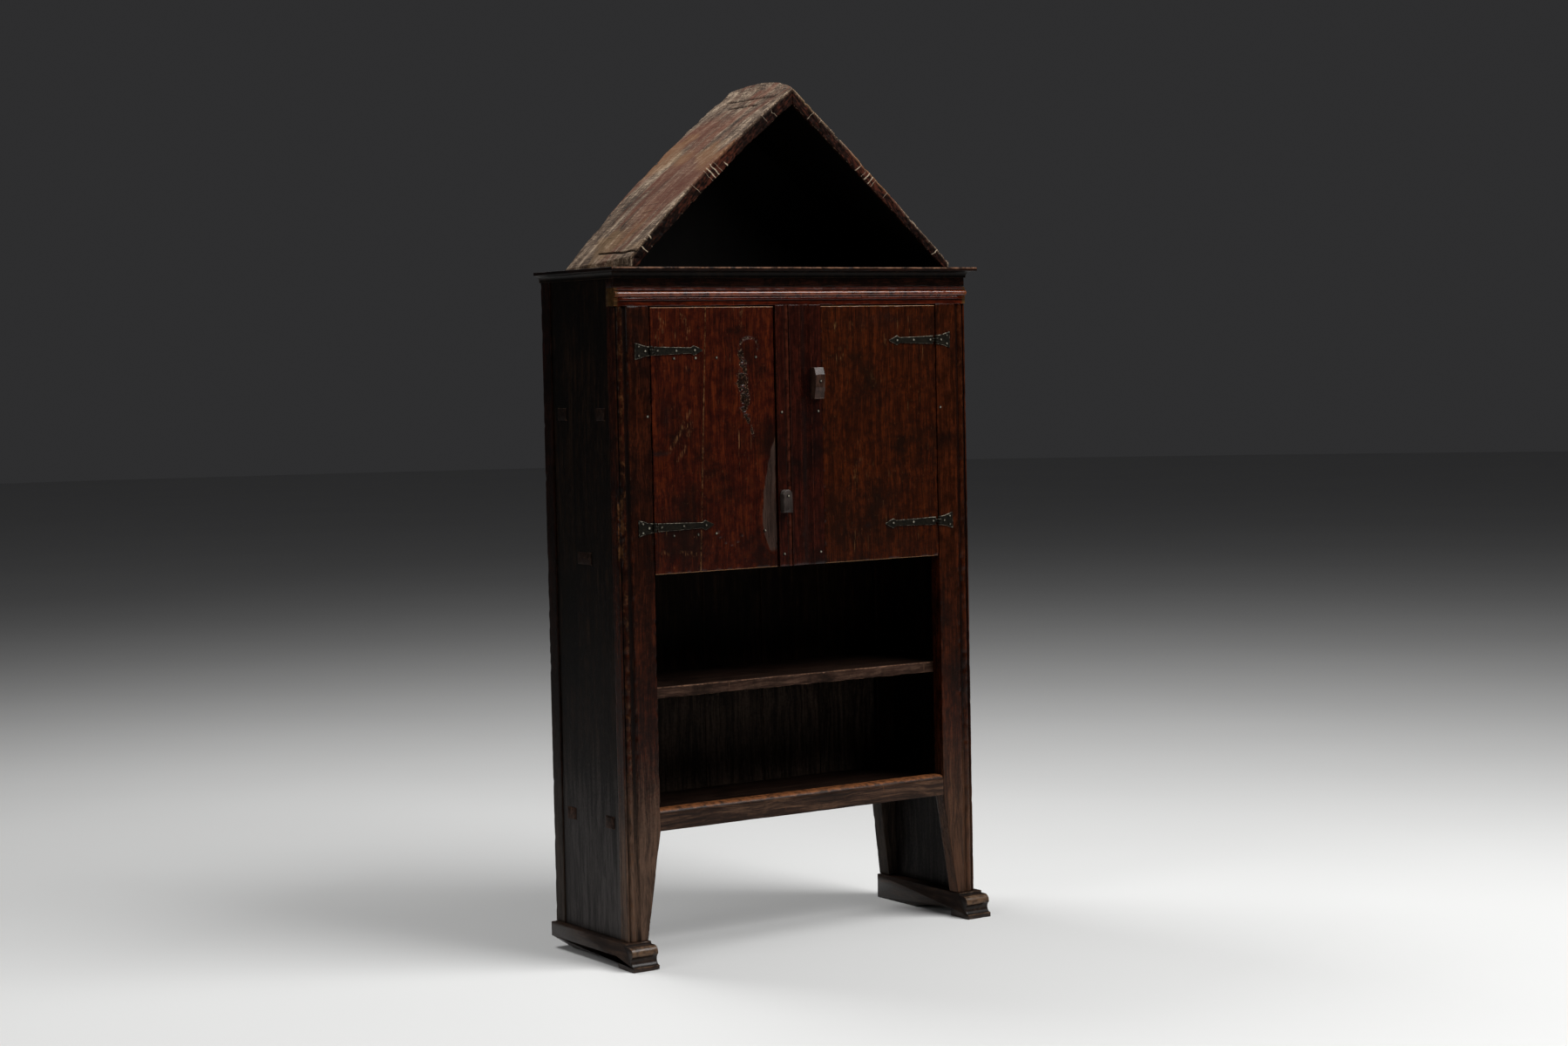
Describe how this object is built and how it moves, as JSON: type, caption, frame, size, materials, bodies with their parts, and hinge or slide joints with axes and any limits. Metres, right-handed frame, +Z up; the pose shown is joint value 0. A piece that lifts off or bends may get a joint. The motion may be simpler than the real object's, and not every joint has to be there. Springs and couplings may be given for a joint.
{
  "type": "cupboard",
  "caption": "Country cupboard with strap-hinged doors and turn buttons over open shelf bays, sledge feet, and a small open gable of thick planks on its cornice.",
  "frame": {"origin": "middle of the footprint, on the floor", "axes": "+Z up, the doors face -Y, +X to the right as seen from the front"},
  "size_m": [0.986, 0.367, 1.9555],
  "materials": {
    "carcass_wood": "waxed dark brown, worn edges",
    "inside_wood": "dull dark brown",
    "left_door_wood": "waxed red-brown, scratched",
    "right_door_wood": "waxed amber brown",
    "mullion_wood": "waxed deep red-brown",
    "button_wood": "worn dark brown",
    "foot_wood": "greyed brown, matte",
    "roof_wood": "weathered grey-brown",
    "wrought_iron": "dark forged, lightly rusted"
  },
  "bodies": {
    "carcass": {"back_board_1": "inside_wood", "back_board_2": "inside_wood", "back_board_3": "inside_wood", "back_board_4": "inside_wood", "back_board_5": "inside_wood", "back_nails": "wrought_iron", "bottom_rail": "carcass_wood", "bottom_shelf": "inside_wood", "cornice_board": "carcass_wood", "cornice_moulding_front": "carcass_wood", "cornice_moulding_left": "carcass_wood", "cornice_moulding_right": "carcass_wood", "cupboard_floor": "inside_wood", "frieze_board": "carcass_wood", "gable_back_board": "roof_wood", "hinge_leaf_left_lower": "wrought_iron", "hinge_leaf_left_upper": "wrought_iron", "hinge_leaf_right_lower": "wrought_iron", "hinge_leaf_right_upper": "wrought_iron", "hinge_pin_left_lower": "wrought_iron", "hinge_pin_left_upper": "wrought_iron", "hinge_pin_right_lower": "wrought_iron", "hinge_pin_right_upper": "wrought_iron", "inner_shelf": "inside_wood", "left_foot": "foot_wood", "left_front_stile": "carcass_wood", "left_leaf_nails": "wrought_iron", "left_rear_stile": "carcass_wood", "left_roof_board": "roof_wood", "left_side_board": "carcass_wood", "lower_button_nail": "wrought_iron", "mullion": "mullion_wood", "mullion_nails": "wrought_iron", "open_shelf": "inside_wood", "right_foot": "foot_wood", "right_front_stile": "carcass_wood", "right_leaf_nails": "wrought_iron", "right_rear_stile": "carcass_wood", "right_roof_board": "roof_wood", "right_side_board": "carcass_wood", "roof_nails": "wrought_iron", "stile_nails": "wrought_iron", "top_rail": "carcass_wood", "upper_button_nail": "wrought_iron"},
    "left_door": {"left_door_outer_board": "left_door_wood", "left_door_inner_board": "left_door_wood", "left_door_upper_batten": "left_door_wood", "left_door_lower_batten": "left_door_wood", "left_door_nails": "wrought_iron", "hinge_strap_left_upper": "wrought_iron", "hinge_strap_left_lower": "wrought_iron", "left_strap_nails": "wrought_iron"},
    "right_door": {"right_door_board": "right_door_wood", "hinge_strap_right_upper": "wrought_iron", "hinge_strap_right_lower": "wrought_iron", "right_strap_nails": "wrought_iron"},
    "upper_button": {"upper_turn_button": "button_wood"},
    "lower_button": {"lower_turn_button": "button_wood"}
  },
  "joints": [
    {"name": "left_door_hinge", "type": "hinge", "parent": "carcass", "child": "left_door", "pos_m": [-0.38675, -0.1462, 1.15], "axis": [0, 0, -1], "range_deg": [0, 165]},
    {"name": "right_door_hinge", "type": "hinge", "parent": "carcass", "child": "right_door", "pos_m": [0.38675, -0.1462, 1.15], "axis": [0, 0, 1], "range_deg": [0, 165]},
    {"name": "upper_button_turn", "type": "hinge", "parent": "carcass", "child": "upper_button", "pos_m": [0.043, -0.1455, 1.272], "axis": [0, 1, 0], "continuous": true},
    {"name": "lower_button_turn", "type": "hinge", "parent": "carcass", "child": "lower_button", "pos_m": [-0.047, -0.1455, 1.017], "axis": [0, 1, 0], "continuous": true}
  ]
}
